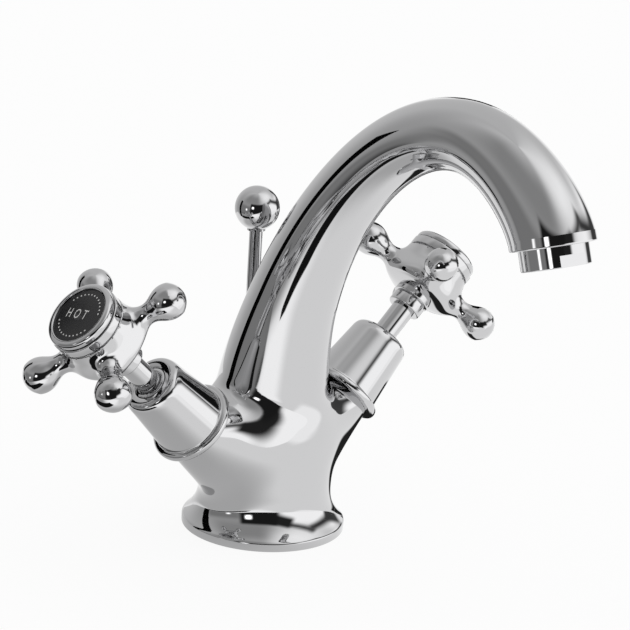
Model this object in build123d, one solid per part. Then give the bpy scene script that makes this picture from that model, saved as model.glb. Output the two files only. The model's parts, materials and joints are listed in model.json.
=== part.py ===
"""Basin mixer with a swan spout, two cross handles and a pop-up rod.

Sizes are millimetres. Z is up, the deck is z = 0, the spout points along -Y,
hot is -X and cold is +X. The origin is the mouth of the fixing-stud thread.
"""
import os
from math import cos, radians, sin

from build123d import *

# foot and column
foot_radius = 30.0
foot_rim = 3.2
foot_round = 1.2
waist_radius = 21.9
waist_height = 16.0
column_radius = 21.2
column_height = 38.6

# spout: its crown and lip, how far the curve is pulled at each, and radii along it
crown_forward = 87.8
crown_up = 162.4
lip_forward = 129.4
lip_up = 135.4
nozzle_tilt = 18.3
column_pull = 58.6
crown_pull_back = 44.1
crown_pull_on = 20.6
lip_pull = 10.0
quarter_radius = 15.8
middle_radius = 12.4
crown_radius = 12.0
lip_radius = 14.0
water_radius = 8.0

# valve arms
valve_angle = 42.9
axes_height = 11.6
valve_back = 0.8
arm_end = 47.5
arm_root = 6.0
arm_root_depth = 19.2
arm_root_height = 15.6
arm_end_radius = 12.5
arm_blend = 9.0
thread_radius = 10.4
thread_length = 10.0
chamber_radius = 9.4
chamber_depth = 21.5
feed_radius = 3.0
outlet_radius = 4.2

# bell cover
bell_height = 28.5
bell_rim_radius = 15.6
bell_rim_height = 2.8
bell_foot_radius = 13.2
bell_top_radius = 10.6
bell_hole_radius = 6.0
bell_wall = 1.2
shoulder_round = 3.4

# valve
spindle_radius = 4.4
running_gap = 0.07
disc_radius = 6.7
disc_height = 3.1
disc_gap = 0.3
port_radius = 2.1
port_offset = 3.5
barrel_radius = 8.2
seal_height = 3.9
seal_bore = 4.6
driver_height = 3.2
tongue_width = 3.6
tongue_depth = 1.5
washer_height = 1.0
flange_height = 2.5
flange_radius = 11.4
hex_height = 6.5
hex_across = 17.0
valve_neck_radius = 6.8
o_ring_thickness = 1.5
clip_thickness = 1.0
clip_radius = 5.6

# cross handle, heights counted along the valve axis
spindle_show = 13.5
collar_radius = 6.6
collar_height = 6.9
hub_rise = 7.1
hub_radius = 13.1
hub_belly = 1.0
hub_crown = 8.1
hub_well_radius = 7.0
hub_well_depth = 8.0
root_blend = 2.6
arm_reach = 26.4
ball_radius = 6.15
arm_neck_radius = 3.5
arm_flare = 2.3
hot_clock = 52.0
cold_clock = 41.0
screw_radius = 2.0
screw_head_radius = 3.6
screw_head_height = 2.2

# index
band_height = 4.4
bezel_height = 7.0
bezel_radius = 12.9
bezel_lip_radius = 12.1
index_radius = 10.4
index_thickness = 1.8
index_recess = 0.4
index_dome = 0.3

# aerator
aerator_radius = 11.3
aerator_show = 6.8
aerator_thread_radius = 10.6
aerator_depth = 10.0
aerator_bore = 9.2
flat_height = 3.8
flat_across = 20.6
flat_clock = 15.0

# pop-up rod
rod_behind = 12.9
rod_radius = 2.4
rod_foot = 2.0
rod_slack = 0.35
knob_radius = 8.15
knob_up = 116.6
knob_neck_radius = 3.3
bush_radius = 3.6
bush_foot = 42.0
bush_height = 13.0

# inlets and fixing under the foot
block_radius = 17.4
block_height = 13.0
inlet_offset = 11.0
inlet_thread_radius = 4.5
inlet_thread_length = 10.0
stud_thread_radius = 3.4
stud_thread_length = 10.0
link_thread_radius = 1.65
link_thread_length = 9.0
deck_seal_radius = 25.4
deck_seal_width = 4.8
deck_seal_height = 2.0

# heights along the valve axis that follow from the sizes above
bell_top = arm_end + bell_height
collar_foot = bell_top + spindle_show
collar_top = collar_foot + collar_height
cross_height = collar_top + hub_rise
hub_top = cross_height + hub_crown
bezel_top = hub_top + bezel_height
well_floor = hub_top - hub_well_depth
spindle_top = well_floor - 2.4
chamber_floor = arm_end - chamber_depth
disc_seat = chamber_floor + seal_height
disc_face = disc_seat + disc_height
driver_foot = disc_face + disc_height + 0.1
driver_top = driver_foot + driver_height
flange_foot = arm_end + washer_height
flange_top = flange_foot + flange_height
neck_top = bell_top - 4.2
spindle_bore = spindle_radius + running_gap


def turned(*corners):
    """Solid of revolution about Z from straight runs between (radius, height) corners."""
    outline = Polyline(*[(r, 0, z) for r, z in corners], close=True)
    return revolve(make_face(outline), Axis.Z)


def turned_round(corners, rounds):
    """The same, with a round of the given radius at the corners given by number."""
    face = make_face(Polyline(*[(r, 0, z) for r, z in corners], close=True))
    for number, radius in rounds:
        r, z = corners[number]
        face = fillet(face.vertices().sort_by_distance((r, 0, z))[0], radius)
    return revolve(face, Axis.Z)


def tube(outer, inner, foot, top):
    """Plain ring about Z."""
    return turned((inner, foot), (outer, foot), (outer, top), (inner, top))


def bar(radius, foot, top):
    """Plain round bar about Z."""
    return turned((0, foot), (radius, foot), (radius, top), (0, top))


def o_ring(mean_radius, height):
    """Round-section seal about Z, centred at a height."""
    return Pos(0, 0, height) * Torus(mean_radius, o_ring_thickness / 2)


def valve_plane(side):
    """Plane of one valve: its Z runs outward along the valve axis, its X to the front."""
    lift = radians(valve_angle)
    along = (side * cos(lift), 0, sin(lift))
    return Plane(origin=(0, valve_back, axes_height), x_dir=(0, -1, 0), z_dir=along)


def nozzle_direction():
    """The way the water leaves."""
    tilt = radians(nozzle_tilt)
    return Vector(0, -sin(tilt), -cos(tilt))


def nozzle_plane():
    """Plane of the spout's lip: its Z runs out with the water."""
    return Plane(origin=(0, -lip_forward, lip_up), x_dir=(1, 0, 0), z_dir=nozzle_direction())


def spout_path():
    """Centre line of the spout: upright at the column, level at the crown, then to the nozzle."""
    foot = Vector(0, 0, column_height)
    crown = Vector(0, -crown_forward, crown_up)
    lip = Vector(0, -lip_forward, lip_up)
    level = Vector(0, 1, 0)
    rise = Bezier(foot, foot + Vector(0, 0, column_pull), crown + level * crown_pull_back, crown)
    fall = Bezier(crown, crown - level * crown_pull_on, lip - nozzle_direction() * lip_pull, lip)
    return Wire([rise.edge(), fall.edge()])


def spout_radius(share):
    """Radius at a share of the spout's length: cubic runs through five radii, a quarter apart."""
    known = (column_radius, quarter_radius, middle_radius, crown_radius, lip_radius)
    slopes = [column_radius - waist_radius]
    slopes += [(known[n + 1] - known[n - 1]) / 2 for n in (1, 2, 3)]
    slopes.append(lip_radius - crown_radius)
    run = min(int(share * 4), 3)
    t = share * 4 - run
    level = known[run] * (2 * t**3 - 3 * t**2 + 1) + known[run + 1] * (3 * t**2 - 2 * t**3)
    return level + slopes[run] * (t**3 - 2 * t**2 + t) + slopes[run + 1] * (t**3 - t**2)


def round_section(centre, along, radius):
    """Round section across a direction, its seam on the inside of the spout's bend."""
    return Plane(origin=centre, x_dir=(0, -along.Z, along.Y), z_dir=along) * Circle(radius)


def body_skin():
    """Outer skin of foot, column and spout as one smooth run of round sections."""
    up = Vector(0, 0, 1)
    sections = []
    for step in (0, 0.2, 0.45, 0.7, 1):
        radius = waist_radius + (foot_radius - waist_radius) * (1 - step) ** 1.5
        height = foot_rim + (waist_height - foot_rim) * step
        sections.append(round_section((0, 0, height), up, radius))
    between = (waist_height + column_height) / 2
    sections.append(round_section((0, 0, between), up, (waist_radius + column_radius) / 2))
    path = spout_path()
    for number in range(13):
        share = number / 12
        sections.append(round_section(path @ share, path % share, spout_radius(share)))
    return loft(sections)


def valve_arm(side):
    """Arm that carries one valve: nearly as deep as the column at its root, round at its end."""
    base = valve_plane(side)
    root = base * Pos(0, 0, arm_root) * Ellipse(arm_root_depth, arm_root_height)
    end = base * Pos(0, 0, arm_end) * Circle(arm_end_radius)
    return loft([root, end])


def is_arm_seam(edge):
    """Is this edge the closed curve where an arm leaves the column?"""
    beside = abs(edge.center().X) > 5
    return beside and edge.geom_type == GeomType.BSPLINE and edge.length > 2 * column_radius


def blended(solid):
    """The arms run into the column with a round blend."""
    return fillet([e for e in solid.edges() if is_arm_seam(e)], arm_blend)


def footed(solid):
    """The flare stands on an upright band, with a small round where they meet."""
    solid += bar(foot_radius, 0, foot_rim)
    corner = solid.edges().sort_by_distance((foot_radius, 0, foot_rim))[0]
    return fillet(corner, foot_round)


def valve_way(side):
    """Room for one valve, its feed from below and its outlet into the spout."""
    room = turned(
        (0, chamber_floor),
        (chamber_radius, chamber_floor),
        (chamber_radius, arm_end - thread_length),
        (thread_radius, arm_end - thread_length),
        (thread_radius, arm_end),
        (0, arm_end),
    )
    lift = radians(valve_angle)
    reach = inlet_offset / cos(lift)
    feed = bar(feed_radius, reach, chamber_floor)
    rise = axes_height + reach * sin(lift)
    riser = Pos(side * inlet_offset, 0, 0) * bar(feed_radius, block_height - 1, rise + feed_radius)
    out_reach = (column_height + 4 - axes_height) * cos(lift) / sin(lift) - 5
    outlet = Pos(0, 0, column_height + 4) * Rot(0, side * 90, 0) * bar(outlet_radius, 0, out_reach)
    return [valve_plane(side) * room, valve_plane(side) * feed, riser, outlet]


def rod_way():
    """Passage of the pop-up rod through the column, wider below for its bush."""
    wide = bar(bush_radius, 0, bush_foot + bush_height)
    return Pos(0, rod_behind, 0) * (wide + bar(rod_radius + rod_slack, 0, knob_up - 2 * knob_radius))


def water_way():
    """Bore of the spout from the mixing room to the aerator's seat."""
    bore = sweep(round_section((0, 0, column_height), Vector(0, 0, 1), water_radius), path=spout_path())
    return [bore, nozzle_plane() * bar(aerator_thread_radius, -aerator_depth, 1)]


def body_casting():
    """Foot, column, arms and spout as cast, with their ways bored."""
    solid = footed(blended(body_skin() + valve_arm(-1) + valve_arm(1)))
    for way in valve_way(-1) + valve_way(1) + water_way():
        solid -= way
    solid -= rod_way()
    solid -= bar(block_radius, 0, block_height)
    solid -= tube(deck_seal_radius, deck_seal_radius - deck_seal_width, 0, deck_seal_height)
    return solid


def inlet_block():
    """Turned block in the foot with the hose threads, the stud thread and the rod's way."""
    solid = bar(block_radius, 0, block_height)
    solid -= bar(stud_thread_radius, 0, stud_thread_length)
    solid -= Pos(0, rod_behind, 0) * bar(rod_radius + rod_slack, 0, block_height)
    groove_foot = block_height - o_ring_thickness
    for side in (-1, 1):
        solid -= Pos(side * inlet_offset, 0, 0) * bar(inlet_thread_radius, 0, inlet_thread_length)
        solid -= Pos(side * inlet_offset, 0, 0) * bar(feed_radius, 0, block_height)
        groove = tube(inlet_seal_radius() + o_ring_thickness / 2, feed_radius, groove_foot, block_height)
        solid -= Pos(side * inlet_offset, 0, 0) * groove
    return solid


def inlet_seal_radius():
    """Mean radius of the seal round one inlet."""
    return feed_radius + o_ring_thickness / 2 + 0.2


def inlet_seal(side):
    """Round-section seal between the inlet block and the casting."""
    return Pos(side * inlet_offset, 0, 0) * o_ring(inlet_seal_radius(), block_height - o_ring_thickness / 2)


def deck_seal():
    """Flat ring under the foot."""
    return tube(deck_seal_radius, deck_seal_radius - deck_seal_width, 0, deck_seal_height)


def rod_bush():
    """Guide of the pop-up rod inside the column."""
    ring = tube(bush_radius, rod_radius + running_gap, bush_foot, bush_foot + bush_height)
    return Pos(0, rod_behind, 0) * ring


def lift_rod():
    """Pop-up rod with a threaded foot for the linkage and a pin for the knob."""
    pin_foot = knob_up - knob_radius
    solid = turned(
        (0, rod_foot),
        (rod_radius, rod_foot),
        (rod_radius, pin_foot),
        (screw_radius, pin_foot),
        (screw_radius, knob_up),
        (0, knob_up),
    )
    solid -= bar(link_thread_radius, rod_foot, rod_foot + link_thread_length)
    return Pos(0, rod_behind, 0) * solid


def lift_knob():
    """Ball knob with a short neck."""
    solid = Pos(0, 0, knob_up) * Sphere(knob_radius)
    solid += bar(knob_neck_radius, knob_up - knob_radius, knob_up)
    solid -= bar(screw_radius, knob_up - knob_radius, knob_up)
    return Pos(0, rod_behind, 0) * solid


def bell():
    """Cover over the valve, with a rounded rim and a rounded shoulder."""
    seat = flange_radius + 0.3
    corners = (
        (seat, arm_end),
        (bell_rim_radius, arm_end),
        (bell_rim_radius, arm_end + bell_rim_height),
        (bell_foot_radius, arm_end + bell_rim_height),
        (bell_top_radius, bell_top),
        (bell_hole_radius, bell_top),
        (bell_hole_radius, bell_top - 2.2),
        (valve_neck_radius + 0.05, bell_top - 2.2),
        (valve_neck_radius + 0.05, neck_top - 6),
        (bell_top_radius - bell_wall - 0.4, neck_top - 8),
        (seat, flange_top + 1),
    )
    rounds = ((1, 1.2), (2, 1.2), (3, 0.9), (4, shoulder_round), (5, 0.8))
    return turned_round(corners, rounds)


def valve_body():
    """Brass valve body: barrel with side windows, thread, flange, hexagon and neck."""
    barrel_foot = chamber_floor + 2.4
    thread_foot = arm_end - thread_length + 0.6
    solid = turned(
        (disc_radius + disc_gap, barrel_foot),
        (barrel_radius, barrel_foot),
        (barrel_radius, thread_foot),
        (thread_radius - 0.03, thread_foot),
        (thread_radius - 0.03, flange_foot),
        (flange_radius, flange_foot),
        (flange_radius, flange_top),
        (valve_neck_radius, flange_top),
        (valve_neck_radius, neck_top),
        (spindle_bore, neck_top),
        (spindle_bore, driver_top + 0.2),
        (disc_radius + disc_gap, driver_top + 0.2),
    )
    nut = extrude(Pos(0, 0, flange_top) * RegularPolygon(hex_across / 2, 6, major_radius=False), hex_height)
    solid += nut - bar(valve_neck_radius, flange_top, neck_top)
    window_height = driver_top - disc_face - 0.5
    window = Box(7, 4 * barrel_radius, window_height, align=(Align.CENTER, Align.CENTER, Align.MIN))
    return solid - Pos(0, 0, disc_face + 0.3) * window


def flange_washer():
    """Flat seal under the valve's flange."""
    return tube(flange_radius, thread_radius, arm_end, flange_foot)


def ported_disc(foot, turn):
    """Ceramic disc with two ports."""
    solid = bar(disc_radius, foot, foot + disc_height)
    for side in (-1, 1):
        port = bar(port_radius, foot, foot + disc_height)
        solid -= Rot(0, 0, turn) * Pos(side * port_offset, 0, 0) * port
    return solid


def tongue(length, width, depth):
    """Bar across the axis that lets the spindle turn the moving disc."""
    return Pos(0, 0, driver_foot) * Box(length, width, depth, align=(Align.CENTER, Align.CENTER, Align.MAX))


def fixed_disc():
    """Lower ceramic disc, still in the valve body."""
    return ported_disc(disc_seat, 0)


def moving_disc():
    """Upper ceramic disc, shut at rest, with a slot across it for the spindle's tongue."""
    slot = tongue(3 * disc_radius, tongue_width + 0.1, tongue_depth + 0.2)
    return ported_disc(disc_face, 90) - slot


def seat_seal():
    """Rubber ring under the discs."""
    return tube(disc_radius, seal_bore, chamber_floor, disc_seat)


def seal_heights():
    """Heights of the spindle's two seals."""
    return (flange_top + 3, flange_top + 8)


def seal_mean_radius():
    """Mean radius of the spindle's seals."""
    return spindle_radius - o_ring_thickness / 2


def spindle():
    """Valve spindle with its driver, two seal grooves, a clip groove and a tapped end."""
    clip_foot = neck_top + 0.2
    solid = turned(
        (0, driver_foot),
        (disc_radius - 0.1, driver_foot),
        (disc_radius - 0.1, driver_top),
        (spindle_radius, driver_top),
        (spindle_radius, spindle_top),
        (0, spindle_top),
    )
    groove_floor = spindle_radius - o_ring_thickness
    for height in seal_heights():
        half = o_ring_thickness / 2 + 0.1
        solid -= tube(spindle_radius + 1, groove_floor, height - half, height + half)
    solid -= tube(spindle_radius + 1, spindle_radius - 0.6, clip_foot, clip_foot + clip_thickness)
    solid -= bar(screw_radius, spindle_top - 9, spindle_top)
    return solid + tongue(2 * disc_radius - 1, tongue_width, tongue_depth)


def spindle_seals():
    """The two round-section seals on the spindle."""
    low, high = seal_heights()
    return [o_ring(seal_mean_radius(), low), o_ring(seal_mean_radius(), high)]


def spring_clip():
    """Open ring that keeps the spindle in the valve body."""
    clip_foot = neck_top + 0.2
    ring = tube(clip_radius, spindle_radius - 0.6, clip_foot, clip_foot + clip_thickness)
    gap = Pos(clip_radius, 0, clip_foot) * Box(2 * clip_radius, 3, 4 * clip_thickness)
    return ring - gap


def handle_arm():
    """One arm of the cross along X: a waisted neck that swells into a ball."""
    start = hub_well_radius + 1.2
    turn = radians(55)
    join = (arm_reach - ball_radius * cos(turn), 0, ball_radius * sin(turn))
    neck = Spline(
        (start, 0, arm_neck_radius + arm_flare),
        (arm_reach - 1.5 * ball_radius, 0, arm_neck_radius),
        join,
        tangents=((1, 0, -0.4), (sin(turn), 0, cos(turn))),
    )
    top = (arm_reach, 0, ball_radius)
    tip = (arm_reach + ball_radius, 0, 0)
    ball = ThreePointArc(join, top, tip)
    foot = (start, 0, 0)
    shape = make_face([neck, ball, Line(tip, foot), Line(foot, neck @ 0)])
    return revolve(shape, Axis.X)


def handle_hub():
    """Hub of the cross: grooved collar, drum, and a well for the screw and the bezel's thread."""
    bore = spindle_radius + 0.02
    corners = (
        (bore, collar_foot),
        (collar_radius, collar_foot),
        (collar_radius, collar_top - 2.6),
        (collar_radius - 0.5, collar_top - 2.4),
        (collar_radius - 0.5, collar_top - 1.8),
        (collar_radius, collar_top - 1.6),
        (collar_radius, collar_top),
        (hub_radius + hub_belly, collar_top),
        (hub_radius, hub_top),
        (hub_well_radius, hub_top),
        (hub_well_radius, well_floor),
        (screw_radius + 0.1, well_floor),
        (screw_radius + 0.1, spindle_top),
        (bore, spindle_top),
    )
    return turned_round(corners, ((1, 0.6), (7, 2.2), (8, 0.4)))


def cross_handle(clock):
    """Hub with four arms, turned to its clock angle from the front."""
    hub = handle_hub()
    solid = hub
    for number in range(4):
        solid += Rot(0, 0, 90 * number) * Pos(0, 0, cross_height) * handle_arm()
    roots = [e for e in solid.edges() if is_root(e)]
    return Rot(0, 0, clock) * fillet(roots, root_blend)


def is_root(edge):
    """Is this edge where an arm leaves the hub's drum?"""
    middle = edge.center()
    out = (middle.X**2 + middle.Y**2) ** 0.5
    near = abs(middle.Z - cross_height) < arm_neck_radius
    return near and hub_radius - 2 < out < hub_radius + 3 and edge.length < 2 * hub_radius


def handle_screw():
    """Pan-head screw that holds the handle on the spindle."""
    solid = turned(
        (0, spindle_top - 7),
        (screw_radius - 0.02, spindle_top - 7),
        (screw_radius - 0.02, well_floor),
        (screw_head_radius, well_floor),
        (screw_head_radius, well_floor + screw_head_height),
        (0, well_floor + screw_head_height),
    )
    slot = Box(0.9, 3 * screw_head_radius, 2, align=(Align.CENTER, Align.CENTER, Align.CENTER))
    return solid - Pos(0, 0, well_floor + screw_head_height) * slot


def index_bezel():
    """Round cap screwed into the hub: a band, a groove and a rounded lip round the index disc."""
    seat = bezel_top - index_recess - index_thickness
    stem = hub_well_radius - 0.02
    band_top = hub_top + band_height
    corners = (
        (0, seat),
        (index_radius + 0.05, seat),
        (index_radius + 0.05, bezel_top),
        (bezel_lip_radius, bezel_top),
        (bezel_radius, band_top + 0.3),
        (bezel_radius - 0.6, band_top),
        (hub_radius, band_top - 0.3),
        (hub_radius, hub_top + 0.5),
        (hub_radius - 0.5, hub_top + 0.3),
        (hub_radius - 0.5, hub_top),
        (stem, hub_top),
        (stem, hub_top - 4),
        (stem - 1.6, hub_top - 4),
        (stem - 1.6, seat - 1.8),
        (0, seat - 1.8),
    )
    return turned_round(corners, ((2, 0.5), (3, 1.1)))


def index_disc():
    """Black disc in the bezel, its face very slightly domed."""
    top = bezel_top - index_recess
    dome_radius = (index_radius**2 + index_dome**2) / (2 * index_dome)
    ball = Pos(0, 0, top - dome_radius) * Sphere(dome_radius)
    return bar(index_radius, top - index_thickness, top + 1) & ball


def aerator_housing():
    """Ring screwed into the lip, with two spanner flats at its lower end."""
    thread = aerator_thread_radius - 0.03
    ledge = aerator_bore - 1.2
    solid = turned_round(
        (
            (aerator_bore, 1.5 - aerator_depth),
            (thread, 1.5 - aerator_depth),
            (thread, 0),
            (aerator_radius, 0),
            (aerator_radius, aerator_show),
            (ledge, aerator_show),
            (ledge, aerator_show - 1),
            (aerator_bore, aerator_show - 1),
        ),
        ((4, 0.4), (5, 0.3)),
    )
    middle = aerator_show - flat_height / 2
    for side in (-1, 1):
        block = Pos(0, side * (flat_across / 2 + 5), middle) * Box(40, 10, flat_height)
        solid -= Rot(0, 0, flat_clock) * block
    return nozzle_plane() * solid


def aerator_insert():
    """Plastic cup with a pierced floor that mixes air into the water."""
    outer = aerator_bore - 0.05
    foot = aerator_show - 1
    solid = turned((0, foot - 1.8), (outer - 1.4, foot - 1.8), (outer - 1.4, 0.5 - aerator_depth + 2),
                   (outer, 0.5 - aerator_depth + 2), (outer, foot), (0, foot))
    hole = bar(0.95, foot - 4, foot + 1)
    solid -= hole
    for ring, count in ((2.9, 6), (5.6, 12)):
        for number in range(count):
            solid -= Rot(0, 0, 360 * number / count) * Pos(ring, 0, 0) * hole
    return nozzle_plane() * solid


def aerator_screen():
    """Pierced steel disc on top of the insert."""
    outer = aerator_bore - 0.05
    top = 1.5 - aerator_depth
    solid = bar(outer, top, top + 1)
    hole = bar(0.8, top - 1, top + 2)
    for ring, count in ((2.4, 6), (4.6, 12), (6.8, 18)):
        for number in range(count):
            solid -= Rot(0, 0, 360 * number / count) * Pos(ring, 0, 0) * hole
    return nozzle_plane() * solid


def aerator_washer():
    """Flat rubber ring between the aerator and the spout."""
    outer = aerator_thread_radius - 0.05
    return nozzle_plane() * tube(outer, water_radius, -aerator_depth, 1.5 - aerator_depth)


def placed(side, solid):
    """A valve's piece, or several, set on its arm."""
    if isinstance(solid, list):
        return Compound(children=[valve_plane(side) * one for one in solid])
    return valve_plane(side) * solid


def all_parts():
    """Every separate piece by its node name."""
    nodes = {
        "body_casting": body_casting(),
        "inlet_block": inlet_block(),
        "hot_inlet_seal": inlet_seal(-1),
        "cold_inlet_seal": inlet_seal(1),
        "deck_seal": deck_seal(),
        "rod_bush": rod_bush(),
        "lift_rod": lift_rod(),
        "lift_knob": lift_knob(),
        "aerator_housing": aerator_housing(),
        "aerator_insert": aerator_insert(),
        "aerator_screen": aerator_screen(),
        "aerator_washer": aerator_washer(),
    }
    for name, side, clock in (("hot", -1, hot_clock), ("cold", 1, -cold_clock)):
        nodes[name + "_bell"] = placed(side, bell())
        nodes[name + "_valve_body"] = placed(side, valve_body())
        nodes[name + "_flange_washer"] = placed(side, flange_washer())
        nodes[name + "_fixed_disc"] = placed(side, fixed_disc())
        nodes[name + "_seat_seal"] = placed(side, seat_seal())
        nodes[name + "_moving_disc"] = placed(side, moving_disc())
        nodes[name + "_spindle"] = placed(side, spindle())
        nodes[name + "_spindle_seals"] = placed(side, spindle_seals())
        nodes[name + "_spring_clip"] = placed(side, spring_clip())
        nodes[name + "_cross_handle"] = placed(side, cross_handle(clock))
        nodes[name + "_handle_screw"] = placed(side, handle_screw())
        nodes[name + "_index_bezel"] = placed(side, index_bezel())
        nodes[name + "_index_disc"] = placed(side, index_disc())
    return nodes


os.makedirs("parts", exist_ok=True)
for node, shape in all_parts().items():
    export_step(shape, f"parts/{node}.step")
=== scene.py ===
# %% [markdown]
# # A basin mixer in polished chrome
#
# The tap is a cast brass body with a swan spout, two raised arms with bell covers and cross handles,
# and a pop-up rod behind the spout. All of it is plated and buffed to a mirror, so what the eye sees
# is mostly the studio around it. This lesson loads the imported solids, gives each one its finish, lays
# finer skins over the casting, the bells and the handles, prints the index discs, and builds the studio
# that the chrome shows.

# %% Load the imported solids
import json
from collections import namedtuple

import bpy
import numpy as np
from mathutils import Matrix, Vector


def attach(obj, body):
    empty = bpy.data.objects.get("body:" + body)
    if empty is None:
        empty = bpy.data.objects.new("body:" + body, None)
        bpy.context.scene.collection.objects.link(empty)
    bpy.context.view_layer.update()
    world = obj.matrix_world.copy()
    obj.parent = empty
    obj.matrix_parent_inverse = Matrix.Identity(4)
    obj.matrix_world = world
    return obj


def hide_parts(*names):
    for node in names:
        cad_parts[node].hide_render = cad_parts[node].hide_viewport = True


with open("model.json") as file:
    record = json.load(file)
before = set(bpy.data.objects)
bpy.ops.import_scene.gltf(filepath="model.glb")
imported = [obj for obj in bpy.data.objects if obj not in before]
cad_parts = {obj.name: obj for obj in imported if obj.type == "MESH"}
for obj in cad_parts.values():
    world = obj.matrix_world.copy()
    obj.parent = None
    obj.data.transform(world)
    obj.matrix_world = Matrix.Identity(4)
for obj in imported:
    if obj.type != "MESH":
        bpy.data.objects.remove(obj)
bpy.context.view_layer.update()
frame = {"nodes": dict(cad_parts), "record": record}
mm = 0.001

# %% [markdown]
# ## Two small helpers for materials
#
# A colour is written as the hex value that a screen shows, and Blender wants it linear, so one
# function turns the one into the other. Another adds a node with its settings and links, which keeps
# each material as short as its list of ideas.

# %% Colour and node helpers
def linear(hex_colour, alpha=1.0):
    """Linear RGBA of an sRGB hex value: each channel through the sRGB curve, straight near black."""
    channels = np.array([int(hex_colour[n:n + 2], 16) for n in (1, 3, 5)]) / 255
    low = channels / 12.92
    high = ((channels + 0.055) / 1.055) ** 2.4
    return (*np.where(channels <= 0.04045, low, high).tolist(), alpha)


def add(tree, kind, links=None, **settings):
    """Adds a node, sets its properties, and gives each named input a value or another node's output."""
    made = tree.nodes.new(kind)
    for name, value in settings.items():
        setattr(made, name, value)
    for socket, source in (links or {}).items():
        if isinstance(source, bpy.types.NodeSocket):
            tree.links.new(source, made.inputs[socket])
        else:
            made.inputs[socket].default_value = source
    return made


def new_material(name):
    """An empty node material and its tree."""
    material = bpy.data.materials.new(name)
    material.use_nodes = True
    material.node_tree.nodes.clear()
    return material, material.node_tree


print("chrome grey as linear:", np.round(linear("#C4C4C5"), 3).tolist())

# %% [markdown]
# ## Polished chrome
#
# The tap's skin is a fraction of a micron of chromium over nickel on cast brass. Chromium returns a
# little over half of the light, evenly, so a white wall shows in it as a mid grey. Buffing by hand
# leaves the mirror faintly uneven: a haze in patches a few millimetres wide, which the roughness
# carries, and a ripple a little over a centimetre long, which a very weak bump carries.

# %% Polished chrome
def polished_chrome():
    """Chromium plate, buffed: grey mirror, a haze in patches and a long shallow ripple."""
    material, tree = new_material("polished_chrome")
    place = add(tree, "ShaderNodeTexCoord")
    haze_width = 4 * mm
    ripple_length = 14 * mm
    ripple_depth = 0.05 * mm
    clear_polish = 0.02
    hazy_polish = 0.045
    haze = add(tree, "ShaderNodeTexNoise", {"Vector": place.outputs["Object"], "Scale": 1 / haze_width,
                                            "Detail": 3.0})
    rough = add(tree, "ShaderNodeMapRange", {"Value": haze.outputs["Fac"], "From Min": 0.3, "From Max": 0.7,
                                             "To Min": clear_polish, "To Max": hazy_polish})
    ripple = add(tree, "ShaderNodeTexNoise", {"Vector": place.outputs["Object"],
                                              "Scale": 1 / ripple_length, "Detail": 1.0})
    bump = add(tree, "ShaderNodeBump", {"Height": ripple.outputs["Fac"], "Strength": 0.25,
                                        "Distance": ripple_depth})
    skin = add(tree, "ShaderNodeBsdfPrincipled", {
        "Base Color": linear("#C4C4C5"), "Metallic": 1.0, "Roughness": rough.outputs["Result"],
        "Normal": bump.outputs["Normal"]})
    add(tree, "ShaderNodeOutputMaterial", {"Surface": skin.outputs["BSDF"]})
    return material


# Chrome, buffed: a clear grey mirror, in which edges of light waver a little.
finishes = {"polished_chrome": polished_chrome()}
print("made", finishes["polished_chrome"].name)

# %% [markdown]
# ## The other finishes
#
# Under the foot and inside the nozzle there are turned brass, black rubber, ceramic, stainless steel
# and white plastic, and the index discs are enamelled black. Each could have a material built by hand,
# but each is plain stock with its own surface, so one function makes them from two close colours, a
# grain size and a roughness range. The real grains are too fine to show, so they are drawn a few tenths
# of a millimetre wide.

# %% Plain stock
grain_depth = 0.05 * mm


def stock(name, light, dark, grain, smooth, coarse, metallic):
    """A plain stock material: two close colours and two roughnesses, both mixed by one grain."""
    material, tree = new_material(name)
    place = add(tree, "ShaderNodeTexCoord")
    noise = add(tree, "ShaderNodeTexNoise", {"Vector": place.outputs["Object"], "Scale": 1 / grain,
                                             "Detail": 4.0})
    colour = add(tree, "ShaderNodeMix", {"Factor": noise.outputs["Fac"], 6: linear(dark), 7: linear(light)},
                 data_type="RGBA")
    rough = add(tree, "ShaderNodeMapRange", {"Value": noise.outputs["Fac"], "To Min": smooth,
                                             "To Max": coarse})
    bump = add(tree, "ShaderNodeBump", {"Height": noise.outputs["Fac"], "Strength": 0.2,
                                        "Distance": grain_depth})
    skin = add(tree, "ShaderNodeBsdfPrincipled", {
        "Base Color": colour.outputs[2], "Metallic": metallic, "Roughness": rough.outputs["Result"],
        "Normal": bump.outputs["Normal"]})
    add(tree, "ShaderNodeOutputMaterial", {"Surface": skin.outputs["BSDF"]})
    return material


# Brass from the lathe: warm yellow, with the satin sheen of a fine feed.
finishes["brass"] = stock("turned_brass", "#D9B46A", "#B98F45", 0.8 * mm, 0.2, 0.4, 1.0)
# Nitrile rubber from a mould: nearly black, with hardly any shine.
finishes["black_rubber"] = stock("moulded_nitrile_rubber", "#262626", "#191919", 0.5 * mm, 0.6, 0.85, 0.0)
# Alumina, fired and lapped flat: cream white with a low, even gloss.
finishes["valve_ceramic"] = stock("lapped_alumina", "#F1EDE2", "#E6E0D2", 0.3 * mm, 0.15, 0.3, 0.0)
# Stainless steel, drawn bright: a cool mirror, slightly blurred.
finishes["stainless_steel"] = stock("bright_stainless_steel", "#CFCFCC", "#B9B9B6", 0.6 * mm, 0.2, 0.35,
                                    1.0)
# Acetal from a mould: milky white with a soft gloss.
finishes["white_plastic"] = stock("moulded_acetal", "#ECECE8", "#E0E0DC", 0.7 * mm, 0.35, 0.55, 0.0)
# Enamel on the index discs: deep black under a smooth gloss.
finishes["black_index"] = stock("black_enamel", "#202022", "#161618", 0.9 * mm, 0.18, 0.32, 0.0)
print("made", sorted(m.name for m in finishes.values()))

# %% [markdown]
# ## Dress the solids
#
# The solids could be dressed one by one, but the record already says which finish each of them has, so
# one pass over it gives every node its material.

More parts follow.
